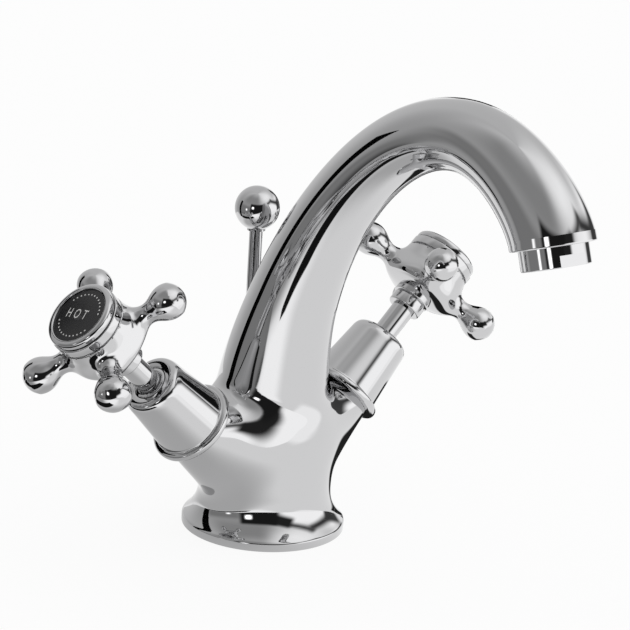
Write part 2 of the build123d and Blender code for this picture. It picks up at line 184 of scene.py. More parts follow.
# %% Give each node its finish
slot_of = {part["node"]: part["material_slot"] for part in frame["record"]["subparts"]}
for name, node in frame["nodes"].items():
    node.data.materials.clear()
    node.data.materials.append(finishes[slot_of[name]])
print("dressed", len(slot_of), "nodes")

# %% [markdown]
# ## The casting as one flowing skin
#
# Foot, column, arms and spout are one brass casting, and hand buffing has left no line where they
# meet. Joining solids and rounding the joint by a fillet leaves a crease where the fillet ends, and a
# mirror shows it at once. Remeshing by voxels leaves ripples. So the skin is a field instead: a number
# for every point of space, below nothing inside the brass. Distances to the spout's centre line and to
# the two arms are melted into one by a smooth minimum, and the skin is where the field is nothing.

# %% Sizes of the spout, in millimetres
# The spout lies in the plane of symmetry, so its places are pairs: y, which is back, and z, which is up.
column_radius = 21.2
column_height = 38.6
crown = np.array([-87.8, 162.4])
lip = np.array([-129.4, 135.4])
nozzle_tilt = np.radians(18.3)
nozzle_way = np.array([-np.sin(nozzle_tilt), -np.cos(nozzle_tilt)])
# The radius is given at the column, at each quarter of the way and at the lip, with its two end slopes.
spout_radii = np.array([column_radius, 15.8, 12.4, 12.0, 14.0])
column_radius_slope = -0.7
lip_radius_slope = 2.0
# Two cubic runs meet at the crown. A pull is how far from a run's end its steering point lies.
column_pull = 58.6
crown_pull_behind = 44.1
crown_pull_ahead = 20.6
lip_pull = 10.0
level = np.array([1.0, 0.0])
upright = np.array([0.0, 1.0])
column_top = column_height * upright
rise = np.array([column_top, column_top + column_pull * upright, crown + crown_pull_behind * level, crown])
fall = np.array([crown, crown - crown_pull_ahead * level, lip - lip_pull * nozzle_way, lip])
print("the lip is", -lip[0], "mm before the column and", lip[1], "mm up")

# %% The spout's centre line and the slopes of its radius
shares = np.linspace(0, 1, 801)
spout_runs = len(spout_radii) - 1


def bezier(points, t):
    """Place, slope and bend of a cubic run: powers of t and of 1 - t weigh its four points."""
    t = t[:, None]
    u = 1 - t
    a, b, c, d = points
    place = u**3 * a + 3 * u**2 * t * b + 3 * u * t**2 * c + t**3 * d
    slope = 3 * u**2 * (b - a) + 6 * u * t * (c - b) + 3 * t**2 * (d - c)
    bend = 6 * u * (c - 2 * b + a) + 6 * t * (d - 2 * c + b)
    return place, slope, bend


def run_lengths(points):
    """Length of a run up to each of many even shares: the steps between places, added up."""
    steps = np.diff(bezier(points, shares)[0], axis=0)
    return np.concatenate([[0], np.cumsum(np.linalg.norm(steps, axis=1))])


def hermite(t, start, end, slope_start, slope_end):
    """Cubic between two values with given slopes at both: four cubics in t weigh the four numbers."""
    values = start * (2 * t**3 - 3 * t**2 + 1) + end * (3 * t**2 - 2 * t**3)
    return values + slope_start * (t**3 - 2 * t**2 + t) + slope_end * (t**3 - t**2)


rise_lengths = run_lengths(rise)
fall_lengths = run_lengths(fall)
spout_length = rise_lengths[-1] + fall_lengths[-1]
middle_slopes = (spout_radii[2:] - spout_radii[:-2]) / 2
radius_slopes = np.concatenate([[column_radius_slope], middle_slopes, [lip_radius_slope]])
print("spout", round(spout_length, 1), "mm along its centre line")

# %% Radii of the spout, the core and the foot
foot_radius = 30.0
foot_rim = 3.2
flare_fall = 5.8
waist_radius = 23.0
foot_height = 17.0
foot_closing = 60.0
core_radius = 18.4
core_height = 22.0


def spout_radius(travel):
    """Radius at a length along the spout: cubic runs through five radii, a quarter apart."""
    quarters = np.clip(travel / spout_length * spout_runs, 0, spout_runs)
    run = np.minimum(quarters.astype(int), spout_runs - 1)
    return hermite(quarters - run, spout_radii[run], spout_radii[run + 1], radius_slopes[run],
                   radius_slopes[run + 1])


def core_profile(z):
    """Radius of the upright core: even low down, then a cubic up to the column."""
    up = np.clip((z - core_height) / (column_height - core_height), 0, 1)
    return hermite(up, core_radius, column_radius, 0, 0)


def foot_profile(z):
    """Radius of the foot: an exponential flare that dies away up to the waist, then a parabola inwards."""
    flare = (foot_radius - waist_radius) * np.exp(-(z - foot_rim) / flare_fall)
    return waist_radius + flare - np.maximum(z - foot_height, 0)**2 / foot_closing


foot_ends = foot_profile(np.array([foot_rim, foot_height]))
print("the foot's radius at its rim and at its top:", foot_ends.round(1).tolist())

# %% Distance from the spine
first_tries = 41
newton_steps = 5
least_turn = 0.3


def nearest_share(points, spots):
    """Share of a run that is nearest to each spot: the best of even tries, then a few Newton steps."""
    tries = np.linspace(0, 1, first_tries)
    gaps = spots[:, None, :] - bezier(points, tries)[0]
    t = tries[(gaps**2).sum(-1).argmin(1)]
    for _ in range(newton_steps):
        place, slope, bend = bezier(points, t)
        off = place - spots
        speed = (slope**2).sum(-1)
        turn = np.maximum(speed + (off * bend).sum(-1), least_turn * speed)
        t = np.clip(t - (off * slope).sum(-1) / turn, 0, 1)
    return t


def spine(y, z):
    """Distance of each spot in the plane of symmetry from the spine, and the radius there.

    The nearest counts of three: the upright axis below the column's top and the two runs of the spout.
    """
    spots = np.stack([y, z], -1)
    upright_part = z <= column_height
    away = np.where(upright_part, np.abs(y), np.inf)
    radius = core_profile(z)
    for points, lengths, start in ((rise, rise_lengths, 0), (fall, fall_lengths, rise_lengths[-1])):
        t = nearest_share(points, spots)
        gap = np.linalg.norm(spots - bezier(points, t)[0], axis=1)
        nearer = gap < away
        radius = np.where(nearer, spout_radius(start + np.interp(t, shares, lengths)), radius)
        away = np.where(nearer, gap, away)
    return away, radius


def outlet(y, z):
    """Length past the lip along the nozzle, and distance to the side of its axis in the same plane."""
    spots = np.stack([y, z], -1) - lip
    return spots @ nozzle_way, spots @ np.array([-nozzle_way[1], nozzle_way[0]])


print("the spine's radius at the crown:", spine(crown[:1], crown[1:])[1].round(1).tolist())

# %% The arms
# Along an arm its depth and height shrink from the root's to the end's. Above, in the crotch, it melts
# into the column over a narrower width than elsewhere.
valve_lift = np.radians(42.9)
valve_back = 0.8
axes_height = 11.6
arm_root = 6.0
arm_end = 47.5
arm_overlap = 0.8
arm_root_depth = 18.5
arm_root_height = 27.5
arm_root_lift = 13.0
arm_end_radius = 12.5
arm_round = 12.0
arm_past_end = 1.1
melt_width = 16.0
crotch_melt = 9.5
crotch_lean = 0.3
crotch_spread = 0.9
tiny = 1e-9


def ease(share):
    """Smooth step from nothing to one: three squares less two cubes."""
    share = np.clip(share, 0, 1)
    return share**2 * (3 - 2 * share)


def arm_field(x, y, z, side):
    """Nearly the distance to one arm, and how widely it melts in.

    The arm is an oval cone, round behind its root and flat at its end. It melts into the column widely in
    front and below, and tightly in the crotch above it.
    """
    along = side * x * np.cos(valve_lift) + (z - axes_height) * np.sin(valve_lift)
    over = (z - axes_height) * np.cos(valve_lift) - side * x * np.sin(valve_lift)
    deep = y - valve_back
    share = np.clip((along - arm_root) / (arm_end - arm_root), 0, arm_past_end)
    over = over - arm_root_lift * (1 - share**2)
    depth = arm_root_depth + (arm_end_radius - arm_root_depth) * share**2
    height = arm_root_height + (arm_end_radius - arm_root_height) * share**2
    behind = np.minimum(along - arm_root, 0)
    far = np.sqrt((deep / depth)**2 + (over / height)**2 + (behind / arm_round)**2) + tiny
    steep = np.sqrt((deep / depth**2)**2 + (over / height**2)**2 + (behind / arm_round**2)**2) + tiny
    above = ease((over / height - crotch_lean * np.abs(deep) / depth) / crotch_spread)
    skin = np.maximum(far * (far - 1) / steep, along - arm_end - arm_overlap)
    return skin, melt_width + (crotch_melt - melt_width) * above


print("the arms rise by", np.degrees(valve_lift).round(1), "degrees and end", arm_end, "mm out")

# %% The field
# The rim's ring covers the skin below its top. The lip's ring covers it beyond its own top, which is
# counted along the nozzle from the lip, as the lip's bore and zone are.
foot_melt = 6.0
ring_top = 6.0
lip_ring_top = -2.0
tuck = 0.5
skin_foot = foot_rim + 1
foot_bore = 17.4
foot_bore_height = 13.0
lip_bore = 10.7
lip_bore_depth = 6.0
lip_zone_radius = 40.0
lip_zone = (-20.0, 30.0)


def melt(a, b, width):
    """Smooth minimum: the smaller of two fields, less a cubic bump where they are nearly equal."""
    near = np.clip(1 - np.abs(a - b) / width, 0, 1)
    return np.minimum(a, b) - near**3 * width / 6


def casting_field(x, y, z, away, radius):
    """Distance to the spine less its radius, melted with the arms and the foot, tucked in and bored.

    Under the rim's ring and the lip's ring the skin steps back a little, ends flat, and leaves the bore
    free.
    """
    beyond, aside = outlet(y, z)
    near_lip = np.abs(aside) < lip_zone_radius
    skin = np.hypot(x, away) - radius
    for side in (-1, 1):
        skin = melt(skin, *arm_field(x, y, z, side))
    skin = melt(skin, np.hypot(x, y) - foot_profile(z), foot_melt)
    skin = skin + tuck * (ease(ring_top - z) + np.where(near_lip, ease(beyond - lip_ring_top), 0))
    skin = np.maximum(skin, skin_foot - z)
    skin = np.maximum(skin, np.minimum(foot_bore - np.hypot(x, y), foot_bore_height - z))
    bore = np.minimum(lip_bore - np.hypot(x, aside), beyond + lip_bore_depth)
    ended = np.maximum(np.maximum(skin, beyond + tuck), bore)
    return np.where(near_lip & (beyond > lip_zone[0]) & (beyond < lip_zone[1]), ended, skin)


def field_at(spots):
    """The field at a list of points."""
    x, y, z = spots.T
    return casting_field(x, y, z, *spine(y, z))


print("field at the column's middle:", np.round(field_at(np.array([[0, 0, 30.0]])), 1).tolist())

# %% [markdown]
# ## From the field to a mesh
#
# The field is sampled on a lattice. A cell with corners on both sides of the skin gets one vertex, and
# each lattice edge that crosses the skin gets a quad of the four cells around it, so the mesh is closed
# and even. The vertices then slide down the field's slope until they lie on the skin exactly, and the
# slope itself gives the normals, so the mirror is as smooth as the formula and not as rough as the grid.

# %% Skin of a sampled field
slope_step = 0.05
slides = 4
least_slope = 0.1


def cell_corners(inside):
    """How many of each cell's eight corners are inside."""
    counts = 0
    for i in (0, 1):
        for j in (0, 1):
            for k in (0, 1):
                ends = [slice(n, size - 1 + n) for n, size in zip((i, j, k), inside.shape)]
                counts = counts + inside[tuple(ends)].astype(int)
    return counts


def crossing_quads(inside, cell_number, axis):
    """Quads round the lattice edges along one axis whose two ends lie on different sides."""
    a, b = [n for n in range(3) if n != axis]
    first = [slice(None)] * 3
    second = [slice(None)] * 3
    first[axis] = slice(0, -1)
    second[axis] = slice(1, None)
    leaving = inside[tuple(first)]
    edges = np.argwhere(leaving != inside[tuple(second)])
    within = (edges[:, [a, b]] > 0) & (edges[:, [a, b]] < np.array(cell_number.shape)[[a, b]])
    edges = edges[within.all(1)]
    outward = leaving[tuple(edges.T)] ^ (axis == 1)
    quads = []
    for back_a, back_b in ((1, 1), (0, 1), (0, 0), (1, 0)):
        cell = edges.copy()
        cell[:, a] -= back_a
        cell[:, b] -= back_b
        quads.append(cell_number[tuple(cell.T)])
    quads = np.stack(quads, -1)
    return np.where(outward[:, None], quads, quads[:, ::-1])


def slope_of(field, spots):
    """Slope of a field at a list of points, from small steps to both sides along each axis."""
    steps = slope_step * np.eye(3)
    pairs = [field(spots + step) - field(spots - step) for step in steps]
    return np.stack(pairs, -1) / (2 * slope_step)


def lattice_axes(low, high, step):
    """Even marks along the three edges of a box."""
    return [np.arange(start, end + step, step) for start, end in zip(low, high)]


def lattice_skin(field, axes, inside):
    """Vertices, quads and normals of a field's skin, from which lattice points are inside it."""
    step = axes[0][1] - axes[0][0]
    counts = cell_corners(inside)
    active = (counts > 0) & (counts < 8)
    cell_number = np.full(active.shape, -1)
    cell_number[active] = np.arange(active.sum())
    cells = np.argwhere(active)
    spots = np.stack([axes[n][cells[:, n]] + step / 2 for n in range(3)], -1)
    quads = np.concatenate([crossing_quads(inside, cell_number, axis) for axis in range(3)])
    quads = quads[(quads >= 0).all(1)]
    for _ in range(slides):
        slope = slope_of(field, spots)
        push = field(spots) / np.maximum((slope**2).sum(1), least_slope)
        spots = spots - np.clip(push, -step / 2, step / 2)[:, None] * slope
    slope = slope_of(field, spots)
    return spots, quads, slope / np.linalg.norm(slope, axis=1, keepdims=True)


casting_low = (-48, -148, 1.5)
casting_high = (48, 34, 178)
casting_step = 1.1
axes = lattice_axes(casting_low, casting_high, casting_step)
flat_y, flat_z = np.meshgrid(axes[1], axes[2], indexing="ij")
away, radius = [values.reshape(1, *flat_y.shape) for values in spine(flat_y.ravel(), flat_z.ravel())]
inside = casting_field(axes[0][:, None, None], flat_y[None], flat_z[None], away, radius) < 0
skin_spots, skin_quads, skin_normals = lattice_skin(field_at, axes, inside)
off_skin = np.abs(field_at(skin_spots))
print("skin of", len(skin_spots), "vertices, nearly all within", np.percentile(off_skin, 99).round(5), "mm")

# %% Casting
def piece(name, spots, faces, slot, body="faucet", normals=None):
    """A smooth mesh object from millimetre points, dressed in a slot's finish and riding on a body."""
    sheet = bpy.data.meshes.new(name)
    sheet.from_pydata((spots * mm).tolist(), [], faces)
    sheet.polygons.foreach_set("use_smooth", np.ones(len(sheet.polygons), bool))
    sheet.materials.append(finishes[slot])
    if normals is not None:
        sheet.normals_split_custom_set_from_vertices(normals.tolist())
    made = bpy.data.objects.new(name, sheet)
    bpy.context.scene.collection.objects.link(made)
    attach(made, body)
    return made


casting = piece("casting", skin_spots, skin_quads.tolist(), "polished_chrome", normals=skin_normals)
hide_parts("body_casting")
print("casting of", len(casting.data.polygons), "quads")

# %% [markdown]
# ## The rim and the lip
#
# The foot stands on an upright band with a small round above it, and the nozzle ends in a flat lip with
# a broken edge. Both were turned on a lathe and have edges that a lattice is too coarse for, so each is
# a closed profile carried once round its axis. They lie on the casting's skin and cover its tucked ends.

# %% Turned rings
turned_steps = 160
sharp_crease = np.radians(35)
off_every_axis = (0.31, 0.95, 0)


def turned(name, profile, middle, way, slot, body="faucet"):
    """A ring: a closed profile of radii and heights carried round an axis from a middle along a way."""
    way = np.asarray(way, float)
    side = np.cross(way, off_every_axis)
    side = side / np.linalg.norm(side)
    front = np.cross(way, side)
    angles = np.linspace(0, 2 * np.pi, turned_steps, endpoint=False)[:, None, None]
    radii, heights = np.asarray(profile).T[:, None, :, None]
    spots = middle + radii * (np.cos(angles) * side + np.sin(angles) * front) + heights * way
    count = spots.shape[1]
    numbers = np.arange(spots.shape[0] * count).reshape(-1, count)
    onward = np.roll(numbers, -1, axis=0)
    quads = np.stack([numbers, onward, np.roll(onward, -1, axis=1), np.roll(numbers, -1, axis=1)], -1)
    made = piece(name, spots.reshape(-1, 3), quads.reshape(-1, 4).tolist(), slot, body)
    made.data.set_sharp_from_angle(angle=sharp_crease)
    return made


def rounded(before, corner, after, count=7):
    """Points of a round corner: a quadratic curve from before to after, pulled to the corner."""
    t = np.linspace(0, 1, count)[:, None]
    return (1 - t)**2 * np.array(before) + 2 * t * (1 - t) * np.array(corner) + t**2 * np.array(after)


proud = 0.02
corner_reach = 0.6
lap = 1.5
foot_round = 0.5
foot_gap = 0.05
foot_wall = 2.0
foot_step = 4.0
seal_groove = (20.6, 25.4)
seal_groove_depth = 2.0
flare_points = 16
band_edge = foot_rim - corner_reach
flare_heights = np.linspace(foot_rim + corner_reach, ring_top + lap, flare_points)
flare = np.stack([foot_profile(flare_heights) + proud, flare_heights], -1)
rim_profile = np.concatenate([
    [(foot_bore + foot_gap, 0), (seal_groove[0], 0), (seal_groove[0], seal_groove_depth)],
    [(seal_groove[1], seal_groove_depth), (seal_groove[1], 0)],
    rounded((foot_radius - foot_round, 0), (foot_radius, 0), (foot_radius, foot_round)),
    rounded((foot_radius, band_edge), (foot_radius, foot_rim), flare[0]),
    flare[1:],
    [(foot_bore + foot_wall, ring_top + lap), (foot_bore + foot_wall, foot_step)],
    [(foot_bore + foot_gap, foot_step)],
])
foot_ring = turned("foot_ring", rim_profile, (0, 0, 0), (0, 0, 1), "polished_chrome")
lip_gap = 0.1
lip_points = 6
lip_slope = radius_slopes[-1] * spout_runs / spout_length
lip_heights = np.linspace(lip_ring_top - lap, -corner_reach, lip_points)
lip_side = np.stack([spout_radii[-1] + lip_slope * lip_heights + proud, lip_heights], -1)
lip_profile = np.concatenate([
    [(lip_bore + lip_gap, lip_ring_top), (lip_bore + lap, lip_ring_top - lap)],
    lip_side,
    rounded(lip_side[-1], (spout_radii[-1], 0), (spout_radii[-1] - corner_reach, 0)),
    [(lip_bore + lip_gap, 0)],
])
lip_middle = np.array([0, *lip])
lip_ring = turned("lip_ring", lip_profile, lip_middle, (0, *nozzle_way), "polished_chrome")
print("rings of", len(foot_ring.data.polygons), "and", len(lip_ring.data.polygons), "quads")

# %% [markdown]
# ## The cross handles
#
# Each handle is a brass forging: a drum with a bowl-shaped underside, and four arms that swell out of it
# in wide hollows and end in balls. Boxes and spheres joined by a boolean would leave a seam at every arm.
# So it is a field again, simpler than the casting's: the drum, the necks and the balls are melted
# together, about the handle's own middle, and the one mesh is set on both valves.

# %% Handle field
cross_height = 103.5
hub_radius = 13.1
hub_top = 111.6
hub_belly = 1.4
belly_top = 4.0
belly_height = 8.0
bowl_depth = 6.8
bowl_power = 4
arm_reach = 26.4
ball_radius = 6.15
ball_melt = 7.0
neck_radius = 3.1
neck_melt = 9.0


def handle_field(spots):
    """Drum on a bowl, melted with two crossed bars that end in balls, about the handle's own middle.

    The bowl is a blunt oval: the fourth powers of the distances out and down add up to one.
    """
    u, v, w = spots.T
    out = np.hypot(u, v)
    down = np.minimum(w, 0)
    wide = hub_radius + hub_belly * ease((belly_top - w) / belly_height)
    lower = bowl_power - 1
    far = ((out / wide)**bowl_power + np.abs(down / bowl_depth)**bowl_power)**(1 / bowl_power) + tiny
    slope_out = (out / wide)**lower / wide
    slope_down = (down / bowl_depth)**lower / bowl_depth
    steep = np.hypot(slope_out, slope_down) / far**lower + tiny
    skin = (far - 1) / steep
    for along, across in ((u, v), (v, u)):
        reach = np.abs(along)
        thick = np.hypot(across, w)
        neck = np.maximum(thick - neck_radius, reach - arm_reach)
        ball = np.hypot(reach - arm_reach, thick) - ball_radius
        skin = melt(skin, melt(neck, ball, ball_melt), neck_melt)
    return np.maximum(skin, w - (hub_top - cross_height))


def valve_frame(side):
    """The front, the cross and the outward direction of one valve, as columns.

    The cross direction is the product of the other two: it points up at the hot valve and down at the
    cold one.
    """
    outward = np.array([side * np.cos(valve_lift), 0, np.sin(valve_lift)])
    front = np.array([0, -1.0, 0])
    return np.stack([front, np.cross(outward, front), outward], -1)


def on_valve(side, spots):
    """Points given along one valve's three directions, set in the tap: turned, then moved to its middle."""
    return np.array([0, valve_back, axes_height]) + np.asarray(spots) @ valve_frame(side).T


cross_low = (-34, -34, -11)
cross_high = (34, 34, 9.5)
cross_step = 0.8
axes = lattice_axes(cross_low, cross_high, cross_step)
grid = np.stack(np.meshgrid(*axes, indexing="ij"), -1)
inside = handle_field(grid.reshape(-1, 3)).reshape(grid.shape[:3]) < 0
cross_spots, cross_quads, cross_normals = lattice_skin(handle_field, axes, inside)
print("handle of", len(cross_quads), "quads")

# %% [markdown]
# ## Bells, glands, collars and caps
#
# A bell covers each valve, and a gland closes its mouth round the spindle. The handle has a collar at
# its foot and a cap at its head, whose lip is one soft round from the index disc down to a groove. They
# were turned on a lathe and plated, so each is an outline carried round the valve's axis. A Screw
# modifier could carry it too, but the function that made the rings is at hand and keeps crisp edges.

# %% Outlines, as the radius and the height along the valve's axis
collar_profile = np.concatenate([
    [(4.45, 89.5)],
    rounded((6.0, 89.5), (6.6, 89.5), (6.6, 90.1)),  # lower edge
    rounded((6.6, 93.4), (6.6, 93.8), (6.2, 93.9), 4),  # groove
    rounded((6.8, 94.2), (7.3, 94.2), (7.3, 94.7), 4),  # step
    [(7.3, 99.5), (4.45, 99.5)],  # end inside the hub
])
cap_profile = np.concatenate([
    [(10.45, 111.6), (12.2, 111.6), (12.2, 112.15)],  # seat on the hub
    rounded((12.85, 112.2), (13.15, 112.2), (13.15, 112.5), 4),  # band's lower edge
    rounded((13.15, 115.2), (13.15, 115.5), (12.85, 115.55), 4),  # band's upper edge
    [(12.2, 115.6), (12.2, 116.0)],  # groove
    rounded((12.7, 116.0), (13.25, 118.75), (10.9, 118.6), 16),  # soft lip
    rounded((10.75, 118.58), (10.5, 118.5), (10.48, 118.2), 4),  # edge at the disc
    [(10.45, 116.3)],
])
bell_profile = np.concatenate([
    [(12.6, 47.5)],
    rounded((14.3, 47.5), (15.6, 47.5), (15.6, 48.9)),  # rim's lower edge
    rounded((15.6, 49.0), (15.6, 50.4), (14.3, 50.4)),  # rim's upper edge
    rounded((14.0, 50.4), (13.45, 50.5), (13.4, 51.2)),  # hollow above the rim
    rounded((11.55, 71.6), (11.3, 76.2), (8.2, 75.9), 14),  # shoulder
    rounded((6.9, 75.7), (6.25, 75.6), (6.2, 75.0), 4),  # mouth
    [(6.2, 73.0), (10.0, 70.0), (12.0, 52.0)],  # inner wall
])
gland_profile = [(4.5, 73.0), (6.05, 73.0), (6.05, 75.4), (5.6, 75.7), (4.9, 75.7), (4.5, 75.4)]
print("outlines of", len(collar_profile), len(cap_profile), len(bell_profile), len(gland_profile), "points")

# %% Handles, bells, glands, collars and caps
sides = {"hot": -1, "cold": 1}
clocks = {"hot": np.radians(52.0), "cold": np.radians(-41.0)}
for name, side in sides.items():
    turn = clocks[name]
    spin = np.array([(np.cos(turn), np.sin(turn), 0), (-np.sin(turn), np.cos(turn), 0), (0, 0, 1)])
    spots = on_valve(side, cross_spots @ spin + (0, 0, cross_height))
    normals = cross_normals @ spin @ valve_frame(side).T
    handle = name + "_handle"
    cross = piece(name + "_cross", spots, cross_quads.tolist(), "polished_chrome", handle, normals)
    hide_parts(name + "_cross_handle")
    middle = on_valve(side, (0, 0, 0))
    outward = valve_frame(side)[:, 2]
    turned(name + "_collar", collar_profile, middle, outward, "polished_chrome", handle)
    cap = turned(name + "_cap", cap_profile, middle, outward, "polished_chrome", handle)
    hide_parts(name + "_index_bezel")
    cover = turned(name + "_bell_cover", bell_profile, middle, outward, "polished_chrome")
    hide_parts(name + "_bell")
    turned(name + "_gland", gland_profile, middle, outward, "polished_chrome")
print("handles, bells, glands, collars and caps made")

# %% [markdown]
# ## The index marks
#
# The black discs carry the plain word for their water in white print, with two arcs of fine dots round
# it. An image could carry them, but it would blur close by. Blender's own letters are flat curves, so
# they are made a mesh first, and its points are then laid on the disc's low dome, a few hundredths of a
# millimetre proud. The dots are small twelve-sided plates.

# %% White print
# Printing ink, dried: a flat, even white that stands out from the glossy black.
finishes["white_print"] = stock("white_printing_ink", "#F0F0EE", "#E2E2E0", 0.4 * mm, 0.35, 0.5, 0.0)
disc_top = 118.2
index_dome = 0.3
index_radius = 10.4
letter_size = 4.6
letter_spacing = 1.7
letter_stretch = np.array([0.74, 1.12])
word_turn = np.radians(9.4)
word_middle = np.array([-1.2, 0.0])
print_height = 0.03
dot_radius = 0.3
dot_sides = 12
dot_ring = 8.3
dot_arcs = ((20, 150, 13), (210, 330, 12))  # first and last angle in degrees, and how many dots


def letters(word):
    """Points and faces of a word made of Blender's own letters, centred, in millimetres."""
    curve = bpy.data.curves.new("word", "FONT")
    curve.body = word
    curve.size = letter_size
    curve.space_character = letter_spacing
    curve.align_x = "CENTER"
    curve.align_y = "CENTER"
    curve.resolution_u = 6
    carrier = bpy.data.objects.new("word", curve)
    sheet = bpy.data.meshes.new_from_object(carrier)
    spots = np.zeros(len(sheet.vertices) * 3)
    sheet.vertices.foreach_get("co", spots)
    faces = [list(face.vertices) for face in sheet.polygons]
    bpy.data.objects.remove(carrier)
    return spots.reshape(-1, 3)[:, :2] * letter_stretch, faces


def dots(first, last, count):
    """Points and faces of dots along an arc: a small many-sided plate at each even angle."""
    angles = np.radians(np.linspace(first, last, count))
    middles = dot_ring * np.stack([np.cos(angles), np.sin(angles)], -1)
    corners = np.linspace(0, 2 * np.pi, dot_sides, endpoint=False)
    plate = dot_radius * np.stack([np.cos(corners), np.sin(corners)], -1)
    spots = (middles[:, None] + plate).reshape(-1, 2)
    return spots, np.arange(len(spots)).reshape(-1, dot_sides)


def printed(name, side, word):
    """Word and dots laid on one disc's dome: the dome falls with the square of the distance out.

    The word leans a little. It is turned half round on the cold disc, whose cross direction points down.
    """
    spots, faces = letters(word)
    turn = np.array([(np.cos(word_turn), np.sin(word_turn)), (-np.sin(word_turn), np.cos(word_turn))])
    spots = (spots @ turn + word_middle) * -side
    for arc in dot_arcs:
        more, plates = dots(*arc)
        faces += (plates + len(spots)).tolist()
        spots = np.concatenate([spots, more])
    height = disc_top + print_height - index_dome * (spots**2).sum(1) / index_radius**2
    spots = np.column_stack([spots, height])
    # The record has no slot for ink, so the print is put in the white plastic's and keeps its own finish.
    made = piece(name + "_index_print", on_valve(side, spots), faces, "white_plastic",
                 name + "_handle")
    made.data.materials[0] = finishes["white_print"]
    return made


for name, side in sides.items():
    made = printed(name, side, name.upper())
    print(made.name, "of", len(made.data.polygons), "faces")

# %% [markdown]
# ## The camera
#
# The photograph was taken from the front left, a little above the tap, with a long lens and a slight
# tilt. A camera set by eye would come close. These numbers were fitted to the tap's main places instead,
# so that picture and photograph can be laid over each other. The camera stands on a line out from a
# point in the tap, at a turn, a rise and a distance, and is then rolled about its own axis.

# %% Camera
view_turn = np.radians(-42.582)
view_rise = np.radians(16.025)
view_roll = np.radians(3.71)
view_distance = 831.49 * mm
view_target = Vector((19.608 * mm, 0, 76.871 * mm))
photo_width = 630
lens_pixels = 2270.57
level_share = np.cos(view_rise)
back = Vector((np.sin(view_turn) * level_share, -np.cos(view_turn) * level_share, np.sin(view_rise)))
right = Vector((np.cos(view_turn), np.sin(view_turn), 0))
up = back.cross(right)
rolled_right = np.cos(view_roll) * right + np.sin(view_roll) * up
rolled_up = np.cos(view_roll) * up - np.sin(view_roll) * right
lens = bpy.data.cameras.new("photo_camera")
lens.sensor_width = 36
lens.lens = lens.sensor_width * lens_pixels / photo_width
lens.clip_start = 0.01
camera = bpy.data.objects.new("photo_camera", lens)
turn = Matrix((rolled_right, rolled_up, back)).transposed().to_4x4()
camera.matrix_world = Matrix.Translation(view_target + view_distance * back) @ turn
bpy.context.scene.collection.objects.link(camera)
bpy.context.scene.camera = camera
camera_place = np.array(camera.matrix_world.translation) / mm
print("camera at", camera_place.round(1).tolist(), "with a lens of", round(lens.lens, 1), "mm")

# %% [markdown]
# ## The studio
#
# Chrome has no colour of its own worth speaking of: it is a picture of the room. Lamps and panels could
# be set up round the tap, but it is simpler to say in which directions the room is light or dark. So far
# things, such as the soft box overhead, the pale wall and the dark end of the room behind the camera,
# are cards in the world: a card is a rectangle of directions, given by where its middle hangs, how wide
# and tall it is, how soft its edge is, how bright it is and how far it hangs askew. They are mixed in
# turn, so a later card hangs before an earlier one. The camera itself sees plain white.

# %% A card and how it is hung
Card = namedtuple("Card", "what across up width height soft level askew", defaults=[0])


def hang(tree, light, where, card, limit):
    """Mixes one card into the light: full inside its rectangle, fading to none across its soft edge.

    The offset from the card's middle is wrapped to plus or minus the limit, so directions go round, and
    then turned back by the angle at which the card hangs askew.
    """
    middle = (card.across, card.up, 0)
    off = add(tree, "ShaderNodeVectorMath", {0: where, 1: middle}, operation="SUBTRACT")
    wrapped = add(tree, "ShaderNodeVectorMath", {0: off.outputs[0], 1: (limit,) * 3, 2: (-limit,) * 3},
                  operation="WRAP")
    straight = add(tree, "ShaderNodeVectorRotate",
                   {"Vector": wrapped.outputs[0], "Angle": np.radians(-card.askew)}, rotation_type="Z_AXIS")
    away = add(tree, "ShaderNodeVectorMath", {0: straight.outputs[0]}, operation="ABSOLUTE")
    inner = ((card.width - card.soft) / 2, (card.height - card.soft) / 2, 0)
    outer = ((card.width + card.soft) / 2, (card.height + card.soft) / 2, 1)
    # Sockets 7 to 10 of Map Range are its two From and its two To values as vectors.
    fade = add(tree, "ShaderNodeMapRange", {"Vector": away.outputs[0], 7: inner, 8: outer, 9: (1, 1, 1),
                                            10: (0, 0, 0)},
               data_type="FLOAT_VECTOR", interpolation_type="SMOOTHSTEP")
    shares_in = add(tree, "ShaderNodeSeparateXYZ", {0: fade.outputs["Vector"]})
    inside = add(tree, "ShaderNodeMath", {0: shares_in.outputs["X"], 1: shares_in.outputs["Y"]},
                 operation="MULTIPLY")
    mixed = add(tree, "ShaderNodeMix", {0: inside.outputs[0], 2: light, 3: card.level})
    return mixed.outputs[0]


print("a card is given by", *Card._fields)

# %% Far cards, by azimuth and elevation in degrees
far_cards = (
    Card("ceiling", 0, 90, 360, 90, 80, 0.95),
    Card("dim ceiling at the left", -72, 46, 110, 52, 40, 0.45),
    Card("right wall", 145, 15, 90, 150, 40, 0.9),
    Card("soft box overhead", 38, 54, 96, 60, 80, 1.8),
    Card("pale wall in front", 42, -6, 112, 60, 22, 1.9),
    Card("white screen at the right", 118, 0, 50, 34, 16, 1.4),
    Card("below the table", -85, -45, 100, 86, 8, 0.05),
    Card("dim left of the room", -108, -4, 60, 36, 14, 0.35),
    Card("dark door at the right", 90, -1, 30, 28, 9, 0.1),
    Card("far end of the dark beam", 69, 16, 60, 13, 12, 0.08, -31),
    Card("dark beam", 14, 27, 84, 10, 11, 0.12, 10),
    Card("foot of the dark beam", -20, 14, 60, 24, 11, 0.03, 16),
    Card("dark room round the camera", -47, 6, 62, 44, 9, 0.02),
    Card("lamp by the camera", -64, 9, 9, 9, 7, 5.0),
    Card("lamp at the left", -97, -3, 7, 8, 6, 3.0),
)
print(len(far_cards), "far cards, the brightest at", max(card.level for card in far_cards))

